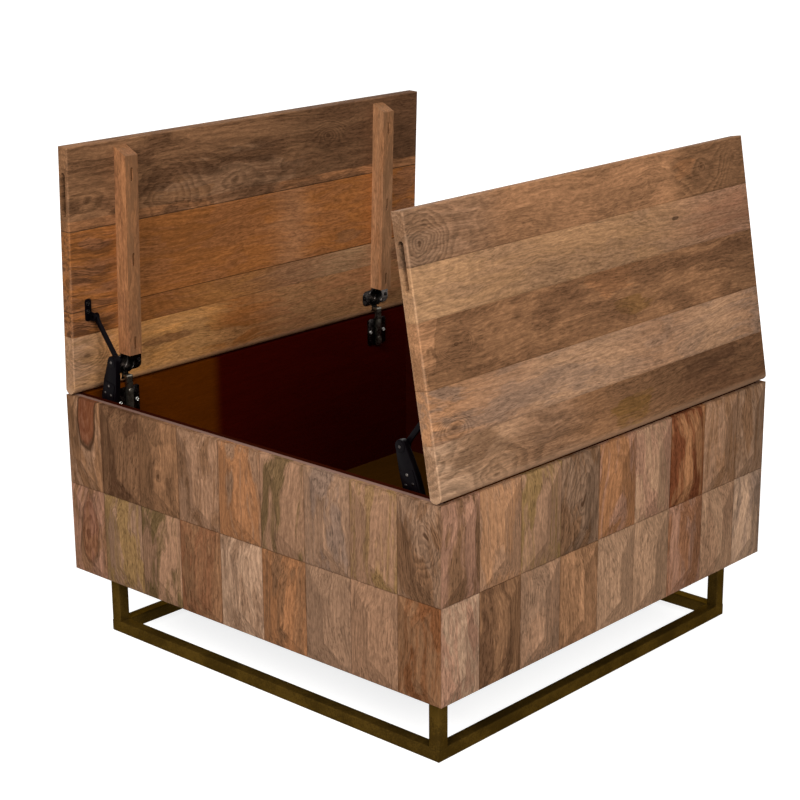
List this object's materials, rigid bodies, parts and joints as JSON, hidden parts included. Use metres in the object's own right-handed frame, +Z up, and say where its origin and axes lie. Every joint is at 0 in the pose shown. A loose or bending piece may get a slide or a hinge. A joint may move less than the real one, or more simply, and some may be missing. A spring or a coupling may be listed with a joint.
{
  "type": "storage trunk coffee table",
  "caption": "Square storage trunk coffee table clad in faceted wooden blocks, with plank lids that hinge open on lid stays and a sled base of square metal tube.",
  "frame": {"origin": "on the floor under the middle of the table", "axes": "+Z up, -Y out of the front face that carries the lid stays, +X towards the right lid's hinges"},
  "size_m": [0.82, 0.82, 0.8096],
  "materials": {
    "block_wood": "satin reclaimed wood",
    "lid_wood": "satin oiled planks",
    "batten_wood": "satin",
    "carcass_stain": "dark stain, matt",
    "antique_brass": "dark antique brass",
    "black_nickel": "black nickel plate",
    "black_steel": "black enamel",
    "screw_steel": "zinc plate"
  },
  "bodies": {
    "trunk": {"cladding_back": "block_wood", "cladding_front": "block_wood", "cladding_left": "block_wood", "cladding_right": "block_wood", "floor_panel": "carcass_stain", "hinge_plate_screws": "screw_steel", "left_hinge_arms": "black_nickel", "left_hinge_plates": "black_nickel", "left_stay_mount": "black_steel", "leg_back_left": "antique_brass", "leg_back_right": "antique_brass", "leg_front_left": "antique_brass", "leg_front_right": "antique_brass", "leg_plate_screws": "screw_steel", "leg_plates": "antique_brass", "rail_back": "antique_brass", "rail_front": "antique_brass", "rail_left": "antique_brass", "rail_right": "antique_brass", "right_hinge_arms": "black_nickel", "right_hinge_plates": "black_nickel", "right_stay_mount": "black_steel", "stay_base_pins": "black_steel", "stay_mount_screws": "screw_steel", "wall_back": "carcass_stain", "wall_front": "carcass_stain", "wall_left": "carcass_stain", "wall_right": "carcass_stain"},
    "left_lid": {"left_batten_screws": "screw_steel", "left_hinge_cups": "black_nickel", "left_hinge_pins": "black_nickel", "left_lid_batten_back": "batten_wood", "left_lid_batten_front": "batten_wood", "left_lid_plank_1": "lid_wood", "left_lid_plank_2": "lid_wood", "left_lid_plank_3": "lid_wood", "left_lid_plank_4": "lid_wood", "left_lid_screws": "screw_steel", "left_stay_bracket": "black_steel", "left_stay_bracket_pin": "black_steel"},
    "left_crank": {"left_stay_crank": "black_steel", "left_stay_elbow_pin": "black_steel"},
    "left_link": {"left_stay_link": "black_steel"},
    "right_lid": {"right_batten_screws": "screw_steel", "right_hinge_cups": "black_nickel", "right_hinge_pins": "black_nickel", "right_lid_batten_back": "batten_wood", "right_lid_batten_front": "batten_wood", "right_lid_plank_1": "lid_wood", "right_lid_plank_2": "lid_wood", "right_lid_plank_3": "lid_wood", "right_lid_plank_4": "lid_wood", "right_lid_plank_5": "lid_wood", "right_lid_screws": "screw_steel", "right_stay_bracket": "black_steel", "right_stay_bracket_pin": "black_steel"},
    "right_crank": {"right_stay_crank": "black_steel", "right_stay_elbow_pin": "black_steel"},
    "right_link": {"right_stay_link": "black_steel"}
  },
  "joints": [
    {"name": "left_lid_hinge", "type": "hinge", "parent": "trunk", "child": "left_lid", "pos_m": [-0.389, 0, 0.422], "axis": [0, -1, 0], "range_deg": [-88, 2]},
    {"name": "left_crank_pivot", "type": "hinge", "parent": "trunk", "child": "left_crank", "pos_m": [-0.339, 0, 0.358], "axis": [0, -1, 0], "range_deg": [-88, 2]},
    {"name": "left_elbow_pivot", "type": "hinge", "parent": "left_crank", "child": "left_link", "pos_m": [-0.31603, 0, 0.47127], "axis": [0, -1, 0], "range_deg": [-2, 88]},
    {"name": "right_lid_hinge", "type": "hinge", "parent": "trunk", "child": "right_lid", "pos_m": [0.389, 0, 0.422], "axis": [0, 1, 0], "range_deg": [-80, 10]},
    {"name": "right_crank_pivot", "type": "hinge", "parent": "trunk", "child": "right_crank", "pos_m": [0.339, 0, 0.358], "axis": [0, 1, 0], "range_deg": [-80, 10]},
    {"name": "right_elbow_pivot", "type": "hinge", "parent": "right_crank", "child": "right_link", "pos_m": [0.30049, 0, 0.46697], "axis": [0, 1, 0], "range_deg": [-10, 80]}
  ],
  "couplings": [
    {"joint": "left_crank_pivot", "follows": "left_lid_hinge", "ratio": 1},
    {"joint": "left_elbow_pivot", "follows": "left_lid_hinge", "ratio": -1},
    {"joint": "right_crank_pivot", "follows": "right_lid_hinge", "ratio": 1},
    {"joint": "right_elbow_pivot", "follows": "right_lid_hinge", "ratio": -1}
  ]
}
